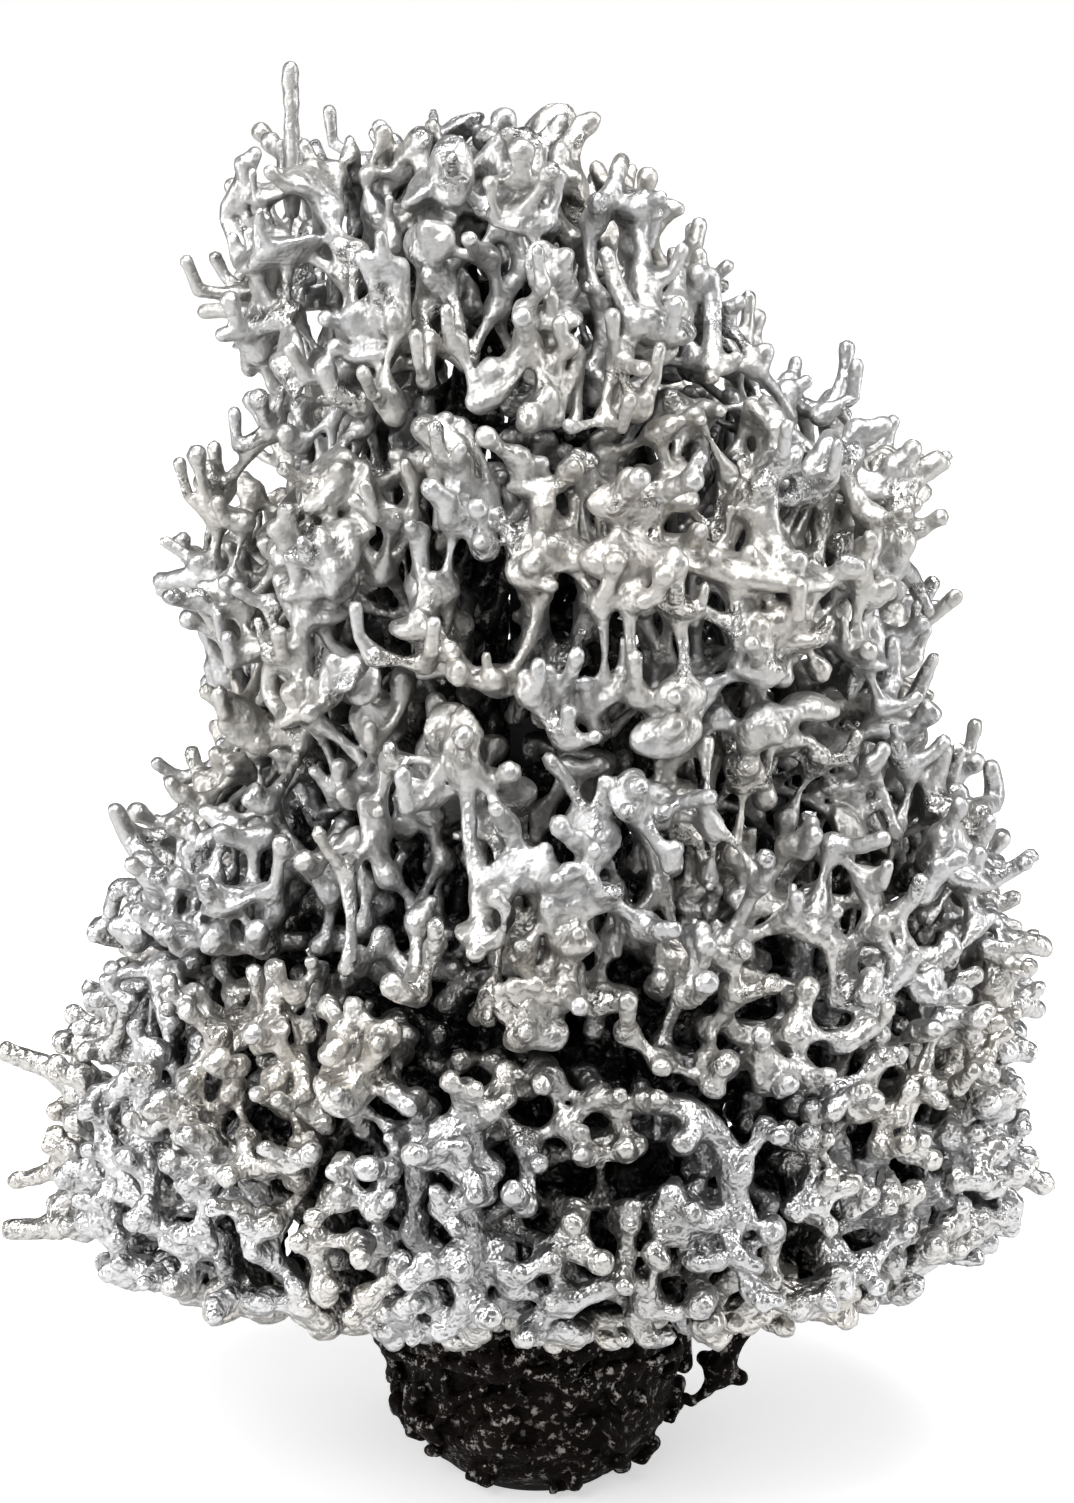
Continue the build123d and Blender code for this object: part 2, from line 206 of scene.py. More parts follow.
def skirt_seam(third):
    """Height of the seam under a waist casting: steps up to both sides of the way it pulls out,
    so that neither it nor the skirt castings below catch on their way out."""
    under = next(name for name in TIERS["skirt"] if third_above(name) == third)
    lowest = break_height("skirt_" + under, "waist_" + third) - 12
    across = sideways(joint_axis("waist_" + third))

    def seam(x, y):
        aside = np.abs(across(x, y))
        return lowest + 0.3 * aside - 2.2 * np.sin(aside / 7.5)

    return seam


def waist_seam(third):
    """Height of the seam between waist and shoulder: waves that run along the way out."""
    middle = break_height("waist_" + third, "shoulder_" + third)
    across = sideways(joint_axis("waist_" + third))
    return lambda x, y: middle + waves(across(x, y))


def crown_seam(x, y):
    """Height of the seam between shoulder and crown beside the bar."""
    height = np.zeros(np.broadcast(x, y).shape) + BESIDE_BAR
    reach = np.full(height.shape, -np.inf)
    for third in TIERS["shoulder"]:
        out = joint_axis("shoulder_" + third)
        ahead = x * out[0] + y * out[1]
        height = np.where(ahead > reach, BESIDE_BAR + 0.7 * waves(sideways(out)(x, y)), height)
        reach = np.maximum(reach, ahead)
    return height


def waves(across):
    return 8.0 * np.sin(across / 12.5) + 2.2 * np.sin(across / 4.5)


def third_above(skirt_name):
    """The waist casting over a skirt casting."""
    out = joint_axis("skirt_" + skirt_name)
    return max(TIERS["waist"], key=lambda third: joint_axis("waist_" + third) @ out)


def below(seam):
    return lambda x, y, z: (seam(x, y) - z) * SEAM_SLANT


def above(seam):
    return lambda x, y, z: (z - seam(x, y)) * SEAM_SLANT


def under_crown(x, y, z):
    """Below the bar, or beside it and a little higher."""
    beside = np.minimum(np.abs(y) - BAR_SPACE, (crown_seam(x, y) - z) * BESIDE_BAR_SLANT)
    return np.maximum(BAR_LOW[2] - UNDER_BAR - z, beside)


def over_shoulder(x, y, z):
    """Just over the bar, or beside it and a little higher."""
    inside = np.minimum(BAR_SPACE - np.abs(y), z - BAR_HIGH[2] - OVER_BAR)
    return np.maximum((z - crown_seam(x, y)) * BESIDE_BAR_SLANT, inside)


def curtain(left, right):
    """The two faces of an upright, wavy parting surface between two crown castings."""
    middle = (box_mm("crown_" + left)[1][0] + box_mm("crown_" + right)[0][0]) / 2

    def parting(y):
        return middle + 8 * np.sin(y / 10)

    return (lambda x, y, z: (parting(y) - x) * CURTAIN_SLANT,
            lambda x, y, z: (x - parting(y)) * CURTAIN_SLANT)


def make_zones():
    zones = []
    for third in TIERS["waist"]:
        low, high = skirt_seam(third), waist_seam(third)
        wedge = wedge_sides(joint_axis("waist_" + third), math.pi / 3)
        zones.append(Zone("waist_" + third, [*wedge, above(low), below(high)], LOWER_CORE_R))
        zones.append(Zone("shoulder_" + third, [*wedge, above(high), under_crown], UPPER_CORE_R))
    for name in TIERS["skirt"]:
        wedge = wedge_sides(joint_axis("skirt_" + name), math.pi / 6)
        seam = skirt_seam(third_above(name))
        floor = above(lambda x, y: SKIRT_FLOOR)
        zones.append(Zone("skirt_" + name, [*wedge, floor, below(seam)], LOWER_CORE_R))
    left_of_left, right_of_left = curtain("left", "centre")
    left_of_right, right_of_right = curtain("centre", "right")
    crown_sides = {
        "left": [left_of_left],
        "centre": [right_of_left, left_of_right],
        "right": [right_of_right],
    }
    for name, sides in crown_sides.items():
        zones.append(Zone("crown_" + name, [*sides, over_shoulder, lambda x, y, z: CEILING - z]))
    return zones


# ---- distance fields -------------------------------------------------------------------------
class Field:
    """A grid of blended distances in a box round one piece."""

    def __init__(self, low, high, sharpness, voxel=FINE_VOXEL):
        self.voxel = voxel
        self.low = np.floor(np.array(low, float)) - 3 * self.voxel
        self.shape = tuple(int(n) for n in (np.array(high) - self.low) / self.voxel + 4)
        self.total = np.zeros(self.shape, np.float32)
        self.sharpness = sharpness

    def axes(self):
        """The grid's x, y and z as arrays that broadcast to its shape."""
        lines = [np.arange(n, dtype=np.float32) * self.voxel + o for n, o in zip(self.shape, self.low)]
        return np.meshgrid(*lines, indexing="ij", sparse=True)

    def add(self, low, high, distance):
        start = np.maximum(np.floor((low - REACH - self.low) / self.voxel).astype(int), 0)
        stop = np.ceil((high + REACH - self.low) / self.voxel).astype(int) + 1
        stop = np.minimum(stop, self.shape)
        if (stop <= start).any():
            return
        lines = [np.arange(a, b, dtype=np.float32) * self.voxel + np.float32(o)
                 for a, b, o in zip(start, stop, self.low)]
        centres = np.stack(np.meshgrid(*lines, indexing="ij"), -1)
        where = tuple(slice(a, b) for a, b in zip(start, stop))
        self.total[where] += np.exp(-self.sharpness * distance(centres))

    def add_path(self, points, radii):
        """A branch through the points, as thick as the radii."""
        points, radii = np.asarray(points, np.float32), np.asarray(radii, np.float32)

        def distance(centres):
            nearest = None
            for a, b, ra, rb in zip(points, points[1:], radii, radii[1:]):
                along = b - a
                off = centres - a
                share = np.clip(off @ along / max(along @ along, 1e-6), 0, 1)
                gone = np.linalg.norm(off - share[..., None] * along, axis=-1)
                here = gone - (ra + (rb - ra) * share)
                nearest = here if nearest is None else np.minimum(nearest, here)
            return nearest

        self.add(points.min(0) - radii.max(), points.max(0) + radii.max(), distance)

    def add_ball(self, centre, radius):
        centre = np.asarray(centre, np.float32)
        self.add(centre - radius, centre + radius,
                 lambda centres: np.linalg.norm(centres - centre, axis=-1) - radius)

    def add_pad(self, centre, facing, across, size):
        """A flattened, rounded lobe; size is its half-lengths across, along and through."""
        facing = facing / np.linalg.norm(facing)
        across = across - facing * (across @ facing)
        across = across / np.linalg.norm(across)
        turn = np.stack([across, np.cross(facing, across), facing]).astype(np.float32)
        size, centre = np.array(size, np.float32), np.asarray(centre, np.float32)

        def distance(centres):
            local = (centres - centre) @ turn.T
            scaled = np.linalg.norm(local / size, axis=-1)
            slope = np.maximum(np.linalg.norm(local / size ** 2, axis=-1), 1e-4)
            return scaled * (scaled - 1) / slope

        self.add(centre - size.max(), centre + size.max(), distance)

    def distances(self):
        return -np.log(np.maximum(self.total, 1e-9)) / self.sharpness

    def noise(self, pitch, seed):
        """Smooth random values on the grid, about one hill every pitch millimetres."""
        rng = np.random.default_rng(seed)
        values = rng.uniform(-1, 1, [int(n * self.voxel / pitch) + 3 for n in self.shape])
        values = values.astype(np.float32)
        for axis, count in enumerate(self.shape):
            at = np.arange(count) * self.voxel / pitch
            whole = at.astype(int)
            share = (at - whole).astype(np.float32)
            share = (share * share * (3 - 2 * share)).reshape(np.roll([-1, 1, 1], axis))
            low = np.take(values, whole, axis)
            values = low + (np.take(values, whole + 1, axis) - low) * share
        return values


def box_blur(values, reach):
    """Mean over a cube of 2 * reach + 1 voxels."""
    span = 2 * reach + 1
    for axis, count in enumerate(values.shape):
        edge = [(reach + 1, reach) if i == axis else (0, 0) for i in range(3)]
        total = np.cumsum(np.pad(values, edge), axis, dtype=np.float32)
        high = np.take(total, np.arange(span, span + count), axis)
        values = (high - np.take(total, np.arange(count), axis)) / span
    return values


def largest_part(count, faces):
    """Which vertices belong to the largest connected part of a mesh."""
    edges = np.concatenate([faces[:, [i, i + 1]] for i in range(faces.shape[1] - 1)])
    label = np.arange(count)
    while True:
        a, b = label[edges[:, 0]], label[edges[:, 1]]
        apart = a != b
        if not apart.any():
            break
        np.minimum.at(label, np.maximum(a, b)[apart], np.minimum(a, b)[apart])
        while (label[label] != label).any():
            label = label[label]
    names, sizes = np.unique(label, return_counts=True)
    return label == names[sizes.argmax()]


def mesh_from(name, field, distance):
    """The zero surface of a distance grid, in metres, with how sheltered each point of it is."""
    grid = openvdb.FloatGrid(REACH)
    grid.copyFromArray(distance)
    points, _, quads = grid.convertToPolygons(0.0, 0.0)
    quads = quads.reshape(-1, 4).astype(np.int64)
    keep = largest_part(len(points), quads)
    quads = (np.cumsum(keep) - 1)[quads[keep[quads[:, 0]]]]
    points = points[keep]
    millimetres = points * field.voxel + field.low
    mesh = bpy.data.meshes.new(name)
    mesh.vertices.add(len(points))
    mesh.vertices.foreach_set("co", (millimetres / MM).astype(np.float32).ravel())
    # openvdb winds its faces inwards, so each is turned over
    mesh.loops.add(quads.size)
    mesh.loops.foreach_set("vertex_index", quads[:, ::-1].astype(np.int32).ravel())
    mesh.polygons.add(len(quads))
    mesh.polygons.foreach_set("loop_start", np.arange(0, quads.size, 4, dtype=np.int32))
    mesh.update(calc_edges=True)
    mesh.shade_smooth()
    # how crowded by metal and how deep below the outline each point lies; the metal's colour turns
    # both into painted shade
    solid = (distance < 0).astype(np.float32)
    at = tuple(np.clip(np.rint(points).astype(int), 0, np.array(field.shape) - 1).T)
    near = box_blur(solid, max(1, round(CREVICE_REACH / field.voxel)))[at]
    airy = AIRY(millimetres[:, 2])
    first_dark, dark_over = 6 + 3.5 * airy, 17 + 19 * airy
    deep = np.clip((depth_below(millimetres) - first_dark) / dark_over, 0, 1)
    for label, values in (("crevice", near), ("deep", deep)):
        attribute = mesh.attributes.new(label, "FLOAT", "POINT")
        attribute.data.foreach_set("value", values.astype(np.float32))
    return put(name, mesh)


def seated(piece, body, node):
    """The piece, which rides on its body in the place of a CAD node."""
    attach(piece, body)
    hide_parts(node)
    return piece


# ---- growing the network ---------------------------------------------------------------------
# By height: the step between joints round the tower and inwards, the step between layers, the
# radius of a branch, how far joints wander, the share of joints that is used, and how airy the
# network is, from 0 in the crusty skirt to 1 among the shafts.
ACROSS = by_height((60, 11.0), (110, 12.0), (150, 12.5), (200, 12.5), (280, 12.0), (310, 10.0))
RISE = by_height((60, 10.5), (150, 12.0), (200, 16.0), (280, 15.5), (300, 13.0), (370, 11.5))
THICK = by_height((58, 3.4), (75, 2.95), (110, 2.5), (150, 2.2), (180, 1.95), (230, 1.8), (370, 1.6))
WANDER = by_height((60, 0.24), (140, 0.28), (200, 0.34), (370, 0.36))
FILLED = by_height((60, 0.97), (140, 0.95), (200, 0.88), (280, 0.84), (310, 0.74))
AIRY = by_height((90, 0.0), (150, 0.45), (220, 1.0))

SKIN = 4.0                        # the outermost joints lie this far below the outline
LEAST_GAP = 6.5                   # joints are at least this far apart
UNEVEN_EDGE = 2.0                 # beside a seam, joints stop short of it by up to this much more
GROWTH_ROOM = 18.0                # room round a casting's joints for what grows from them
ROOT_REACH = 34.0                 # a casting's boss is linked to joints this far away
MOST_LINKS = 4                    # a joint with this many branches gets no branch that makes a loop
SKIRT_BLEND, SHAFT_BLEND = 1.5, 1.15   # the higher, the sharper the creases between branches
LUMP_PITCH, GRIT_PITCH = 5.5, 2.6      # how far apart the skin's lumps and its grit are


def ring(z, inset, step, rng):
    """Points round the tower at one height, inset below the outline and about a step apart."""
    angles = np.arange(0, 2 * math.pi, math.pi / 90)
    around = np.stack([np.sin(angles), -np.cos(angles), np.full(len(angles), z)], 1)
    radii = tower_radius(around) - inset
    if radii.max() < step * 0.6:
        return None
    around[:, :2] *= np.maximum(radii, 0.5)[:, None]
    lengths = np.linalg.norm(np.diff(around, axis=0, append=around[:1]), axis=1)
    total = lengths.sum()
    count = max(3, round(total / step))
    at = (np.arange(count) + rng.uniform()) % count * total / count
    place = np.interp(at, np.concatenate([[0], np.cumsum(lengths)]), np.arange(len(angles) + 1))
    whole, share = place.astype(int) % len(angles), (place % 1)[:, None]
    return around[whole] * (1 - share) + around[(whole + 1) % len(angles)] * share


def scatter(rng):
    """Joints in layers below the outline: close together outside, wider apart deep inside."""
    found = []
    z = OUTLINE_LOW + SKIN
    while z < OUTLINE_HIGH:
        inset, layer = SKIN, 0
        while True:
            step = ACROSS(z) * (1.0 if layer < 3 else 1.5)
            points = ring(z, inset, step, rng)
            if points is None:
                break
            found.append(points)
            inset += step * 0.95
            layer += 1
        z += RISE(z)
    points = np.concatenate(found)
    aside = WANDER(points[:, 2]) * ACROSS(points[:, 2])
    shift = np.stack([aside, aside, 0.42 * RISE(points[:, 2])], 1)
    points = points + rng.uniform(-1, 1, points.shape) * shift
    return points[rng.uniform(0, 1, len(points)) < FILLED(points[:, 2])]


def thinned(points, least):
    """The points without those closer than least to one kept before."""
    kept = []
    for point in points:
        if not kept or (np.linalg.norm(np.array(kept) - point, axis=1) > least).all():
            kept.append(point)
    return np.array(kept)


def linked(points, root, zone, rng):
    """Branches between neighbouring joints: a tree that reaches them all, and some loops."""
    height = points[:, 2]
    step = np.maximum(ACROSS(height), RISE(height))
    most_inside, most_outside = 2.3, 1.55     # the steps that a branch may span
    inside = depth_below(points) > 3 * ACROSS(height)
    reach = step * np.where(inside, most_inside, most_outside)
    reach[root] = ROOT_REACH
    gaps = np.linalg.norm(points[:, None] - points[None], axis=-1)
    a, b = np.nonzero(np.triu(gaps < np.maximum(reach[:, None], reach[None]), 1))
    stays_inside = zone.clearance((points[a] + points[b]) / 2) > THICK(height[a]) * 0.7
    a, b = a[stays_inside], b[stays_inside]
    upright = np.abs(points[b][:, 2] - points[a][:, 2]) / gaps[a, b]
    fondness = 0.3 + 0.55 * AIRY(height[a])
    weight = gaps[a, b] / step[a] * rng.uniform(0.6, 1.6, len(a)) * (1.2 - fondness * upright)
    loops = np.interp(AIRY(height[a]), (0, 1), (0.8, 0.34))
    group = list(range(len(points)))
    degree = np.zeros(len(points), int)
    links = []

    def top(i):
        while group[i] != i:
            group[i] = group[group[i]]
            i = group[i]
        return i

    for e in np.argsort(weight):
        i, j = int(a[e]), int(b[e])
        top_i, top_j = top(i), top(j)
        spare = weight[e] < 1.0 and max(degree[i], degree[j]) < MOST_LINKS and rng.uniform() < loops[e]
        if top_i != top_j or spare:
            group[top_i] = top_j
            degree[[i, j]] += 1
            links.append((i, j))
    home = np.array([top(i) == top(root) for i in range(len(points))])
    return [(i, j) for i, j in links if home[i]], home


def unit(vector):
    return vector / np.linalg.norm(vector)


def outwards(point):
    """The level way from the tower's axis to a point."""
    return unit(np.array([point[0], point[1], 1e-6]))


def bent(start, end, sway, rng):
    """Points on a gently curved way from start to end."""
    middle = (start + end) / 2 + rng.normal(0, 1, 3) * sway * np.linalg.norm(end - start)
    t = np.linspace(0, 1, 5)[:, None]
    return start * (1 - t) ** 2 + middle * 2 * t * (1 - t) + end * t ** 2


# Features that have their own place: what it is, its radius or its half-lengths across, along and
# through, and its way as (x, z) points on the tower's front face.
LANDMARKS = (
    # crown, from left to right
    ("finger", 2.2, (-68, 327), (-78, 339), (-76, 347), (-71, 357)),
    ("finger", 2.2, (-64, 318), (-75, 319), (-84, 318)),
    ("finger", 2.3, (-70, 320), (-72, 311), (-73, 303)),
    ("pad", (5.0, 13.0, 3.0), (-61, 306), (-61, 318)),
    ("rod", 2.2, (-31, 334), (-27, 321), (-17, 310), (-16, 301)),
    ("rod", 2.1, (-2, 317), (-9, 306), (-16, 301)),
    ("rod", 2.8, (-36, 303), (-27, 300)),
    ("pad", (6.5, 9.5, 3.6), (-21, 356), (-24, 344)),
    ("pad", (8.0, 5.5, 3.6), (-27, 340), (-27, 332)),
    ("finger", 2.3, (-4, 346), (-1, 354), (2, 362)),
    ("finger", 2.2, (14, 343), (18, 350), (21, 357)),
    ("tray", (9.5, 6.5, 2.8), (24, 347), (25, 338)),
    ("rod", 2.1, (25, 345), (26, 337), (27, 328)),
    ("tray", (9.5, 7.0, 4.0), (30, 319), (30, 312)),
    ("finger", 2.2, (24, 321), (20, 328), (17, 337)),
    ("finger", 2.1, (28, 322), (26, 327), (25, 332)),
    ("finger", 2.1, (34, 321), (35, 328), (34, 334)),
    ("finger", 2.1, (37, 320), (40, 326), (41, 332)),
    ("finger", 2.2, (44, 304), (44, 317), (44, 328)),
    # shoulder
    ("finger", 2.2, (8, 288), (10, 298), (9, 312)),
    ("finger", 2.3, (62, 291), (66, 301), (72, 302), (74, 296)),
    ("finger", 2.8, (68, 280), (72, 288), (74, 296)),
    ("finger", 2.3, (57, 282), (60, 294), (61, 305)),
    ("finger", 3.3, (86, 256), (90, 267), (94, 276), (101, 281)),
    ("finger", 2.3, (84, 264), (91, 257), (96, 250), (100, 242)),
    ("rod", 3.0, (-27, 297), (-19, 292), (-20, 277)),
    ("pad", (8.5, 5.0, 4.2), (20, 281), (20, 274)),
    ("pad", (10.0, 6.0, 4.2), (20, 268), (20, 261)),
    ("tray", (21.0, 6.5, 2.8), (52, 263), (52, 256)),
    ("rod", 2.3, (47, 262), (50, 255), (51, 247)),
    ("rod", 2.3, (67, 260), (66, 253), (64, 246)),
    ("rod", 2.0, (57, 287), (56, 280), (58, 270), (59, 264)),
    ("pad", (8.5, 6.5, 3.2), (-53, 281), (-53, 273)),
    ("pad", (8.5, 7.5, 3.2), (-50, 266), (-50, 258)),
    ("rod", 2.0, (-56, 259), (-58, 244), (-57, 228)),
    ("finger", 2.5, (-76, 247), (-86, 252), (-96, 250)),
    ("finger", 2.3, (-74, 267), (-82, 270), (-84, 279)),
    ("rod", 2.1, (-61, 241), (-66, 236), (-66, 229), (-61, 225)),
    # waist
    ("finger", 2.3, (88, 219), (90, 228), (90, 237)),
    ("finger", 2.2, (90, 211), (98, 217), (102, 228)),
    ("tray", (7.5, 5.5, 3.0), (54, 240), (54, 233)),
    ("rod", 2.3, (54, 238), (54, 229)),
    ("tray", (7.5, 5.5, 3.0), (68, 232), (69, 225)),
    ("pad", (7.0, 5.0, 3.6), (35, 235), (33, 228)),
    ("pad", (8.5, 5.5, 4.0), (30, 225), (30, 218)),
    ("pad", (3.6, 9.5, 1.8), (-18, 226), (-17, 214)),
    ("rod", 2.0, (-17, 218), (-16, 202), (-13, 189)),
    ("pad", (7.5, 5.5, 3.0), (-4, 195), (-4, 188)),
    ("rod", 2.0, (14, 199), (10, 190), (9, 179)),
    ("finger", 2.0, (10, 190), (4, 194), (2, 200)),
    ("finger", 2.5, (-48, 192), (-47, 173), (-53, 154)),
    ("finger", 2.6, (106, 190), (113, 191), (119, 190), (118, 199)),
    ("finger", 2.5, (-96, 170), (-105, 177), (-110, 187)),
    ("finger", 2.3, (-99, 165), (-109, 166), (-112, 159)),
    # skirt
    ("finger", 2.8, (-121, 112), (-131, 115), (-141, 119)),
    ("finger", 2.6, (-122, 90), (-132, 85), (-139, 83)),
    ("finger", 3.3, (-118, 77), (-130, 71), (-141, 70)),
    ("finger", 3.1, (116, 152), (124, 154), (132, 152)),
    ("finger", 3.0, (116, 138), (124, 138), (131, 135)),
    ("finger", 3.3, (120, 88), (128, 86), (136, 83)),
    ("rod", 3.3, (-16, 138), (-17, 122), (-16, 106)),
    ("rod", 3.3, (39, 140), (46, 128), (48, 112)),
    ("pad", (9.0, 7.0, 4.0), (35, 112), (35, 105)),
)


def on_front(x, z):
    """The place on the tower's front face at x and z, a little sunk; at its edge beyond it."""
    side = RIGHT(z) if x > 0 else LEFT(z)
    return np.array((x, -DEPTH(z) * math.sqrt(max(0.0, 1 - (x / side) ** 2)) * 0.96, z))


def marks_in(zone):
    """The landmarks whose root lies in a zone, as kind, size and the way moved inside the zone."""
    found = []
    for kind, size, *places in LANDMARKS:
        path = np.array([on_front(x, z) for x, z in places])
        # a feature at the edge stands out sideways and doesn't run round the tower
        depth, swing = path[:, 1].mean(), 5
        path[:, 1] = np.clip(path[:, 1], depth - swing, depth + swing)
        if zone.clearance(path[:1])[0] > 0:
            radius = size if kind in ("finger", "rod") else size[2]
            path = zone.pushed_inside(path, radius + GAP)
            if len(path) > 1:
                found.append((kind, size, path))
    return found


class Grower:
    """Adds coral features to one casting's field, inside its zone."""

    def __init__(self, zone, field, rng):
        self.zone, self.field, self.rng = zone, field, rng

    def fits(self, points, radii):
        return (self.zone.clearance(np.atleast_2d(points)) > np.asarray(radii) + GAP).all()

    def branch(self, start, end, thick_start, thick_end):
        """Flares at both ends and is thin in the middle."""
        waist = min(thick_start, thick_end) * self.rng.uniform(0.62, 0.95)
        radii = [thick_start, (thick_start + waist) / 2, waist, (thick_end + waist) / 2, thick_end]
        self.field.add_path(bent(start, end, 0.12, self.rng), radii)

    def finger(self, start, way, length, thick, lift):
        """A blunt finger that leaves a joint, curves upwards and may end in a bead."""
        rng = self.rng
        middle = start + way * length * 0.55 + rng.normal(0, 0.06, 3) * length
        end = middle + unit(way * (1 - lift) + UP * lift) * length * 0.5
        points = np.array([start, (start + middle) / 2, middle, (middle + end) / 2, end])
        radii = thick * np.array([1.25, 1.0, 0.9, 0.92, 1.05])
        if not self.fits(points, radii):
            return False
        self.field.add_path(points, radii)
        if rng.uniform() < 0.3:
            self.field.add_ball(end, thick * rng.uniform(1.08, 1.2))
        return True

    def tray(self, centre, facing, half, fingers):
        """A flattened chamber that faces upwards, with fingers that rise from its rim."""
        rng = self.rng
        across = unit(np.cross(facing, np.array((0.0, 1.0, 0.2))))
        along = np.cross(facing, across)
        if not self.fits(centre, min(half[:2]) * 0.9):
            return
        self.field.add_pad(centre, facing, across, half)
        for n in range(fingers):
            angle = 2 * math.pi * (n + rng.uniform(0, 0.5)) / max(fingers, 1)
            rim = across * math.cos(angle) * half[0] + along * math.sin(angle) * half[1]
            way = unit(UP + unit(rim) * rng.uniform(0.2, 0.7))
            thick = half[2] * rng.uniform(0.62, 0.75)
            self.finger(centre + rim * 0.72, way, rng.uniform(7, 12), thick, 0.8)

    def lobes(self, centre, facing, size):
        """A pad of two or three overlapping flattened lobes."""
        rng = self.rng
        across = unit(np.cross(facing, rng.normal(0, 1, 3)))
        side = np.cross(facing, across)
        count = rng.integers(2, 4)
        for n in range(count):
            angle = 2 * math.pi * (n + rng.uniform(-0.2, 0.2)) / count
            spot = centre + (across * math.cos(angle) + side * math.sin(angle)) * size * 0.45
            radius = size * rng.uniform(0.55, 0.85)
            if self.fits(spot, radius * 0.9):
                lean = facing + rng.normal(0, 0.15, 3)
                half = (radius * rng.uniform(0.8, 1.2), radius, size * rng.uniform(0.26, 0.36))
                self.field.add_pad(spot, lean, across, half)

    def decorate(self, point, thick, depth):
        """Knobs, fingers and pads at one joint, by how high and how deep it lies."""
        rng, airy = self.rng, AIRY(point[2])
        knob_share, second_share, inner_share = 0.3, 0.35, 0.35
        tray_share, tray_or_pad_share = 0.16 * airy, 0.06 + 0.26 * airy
        outer = depth < ACROSS(point[2]) * 1.05
        flat = outwards(point)
        if rng.uniform() < knob_share:
            self.field.add_ball(point + rng.normal(0, 0.8, 3), thick * rng.uniform(1.1, 1.35))
        if outer:
            wanted, tries = 1 + (rng.uniform() < second_share), 5
            while wanted and tries:
                way = unit(flat + rng.normal(0, 0.5, 3) + UP * 0.5 * airy)
                length = rng.uniform(4, 7) + airy * rng.choice((0, 6, 11)) * rng.uniform(0.7, 1.1)
                lift = rng.uniform(0.1, 0.4 + 0.55 * airy)
                stout = THICK(point[2]) * rng.uniform(0.82, 1.0) * (1 + 0.22 * airy)
                wanted -= self.finger(point, way, length, stout, lift)
                tries -= 1
        elif rng.uniform() < inner_share:
            way = unit(rng.normal(0, 1, 3))
            self.finger(point, way, rng.uniform(4, 7), THICK(point[2]) * 0.85, 0.3)
        kind = rng.uniform()
        if kind < tray_share:
            facing = unit(UP + flat * rng.uniform(0, 0.5) + rng.normal(0, 0.2, 3))
            half = np.array((rng.uniform(6, 9.5), rng.uniform(5, 7), THICK(point[2]) * 1.15))
            self.tray(point, facing, half, rng.integers(0, 3))
        elif kind < tray_or_pad_share:
            facing = unit(UP * rng.uniform(-0.3, 0.9) + flat * 0.8 + rng.normal(0, 0.4, 3))
            self.lobes(point + flat, facing, rng.uniform(5.0, 8.0))

    def landmark(self, kind, size, path):
        """A feature that has its own place: a finger, a rod, a tray or a pad."""
        if kind in ("finger", "rod"):
            radii = size * np.linspace(1.15, 0.95, len(path))
            if kind == "rod":
                radii[-1] = size * 1.25
            along = np.linspace(0, 1, len(path))
            radii = np.interp(np.linspace(0, 1, CURVE_POINTS), along, radii)
            self.field.add_path(rounded(path), radii)
            return
        facing = UP + outwards(path[0]) * 0.35 if kind == "tray" else outwards(path[0]) + UP * 0.3
        self.field.add_pad(path[0], unit(facing), np.array((1.0, 0.05, 0.05)), size)


def rounded(path):
    """Points along a smooth curve through the path."""
    t = np.linspace(0, len(path) - 1, CURVE_POINTS)
    before = np.vstack([2 * path[0] - path[1], path, 2 * path[-1] - path[-2]])
    whole = np.minimum(t.astype(int), len(path) - 2)
    u = (t - whole)[:, None]
    a, b, c, d = (before[whole + n] for n in range(4))
    return b + u * ((c - a) + u * ((2 * a - 5 * b + 4 * c - d) + u * (3 * (b - c) + d - a))) / 2


BOSS_WALL, BOSS_LENGTH = 1.7, 11       # metal round a magnet, and the boss's length behind it
KEPT_BEHIND = 3                        # the core's round doesn't cut the boss this far behind it
SIDE_PLAY, END_PLAY = 0.35, 0.4        # room round a magnet and behind it
SEAT_PLAY = 0.15                       # between a casting's seat and the steel


class Boss:
    """Where a casting seats on the steel, from its disc magnet in the CAD."""

    def __init__(self, name):
        low, high = box_mm(name + "_magnet")
        self.out = joint_axis(name)
        level = self.out[2] == 0
        self.radius = (high[2] - low[2]) / 2 if level else (high[0] - low[0]) / 2
        side = np.abs(np.cross(UP, self.out)) if level else np.array((1.0, 1.0, 0.0))
        self.thickness = (high - low - 2 * self.radius * side) @ np.abs(self.out)
        self.seat = (low + high) / 2 - self.out * self.thickness / 2
        self.outer_radius = self.radius + BOSS_WALL
        self.end = self.seat + self.out * (self.thickness + BOSS_LENGTH)


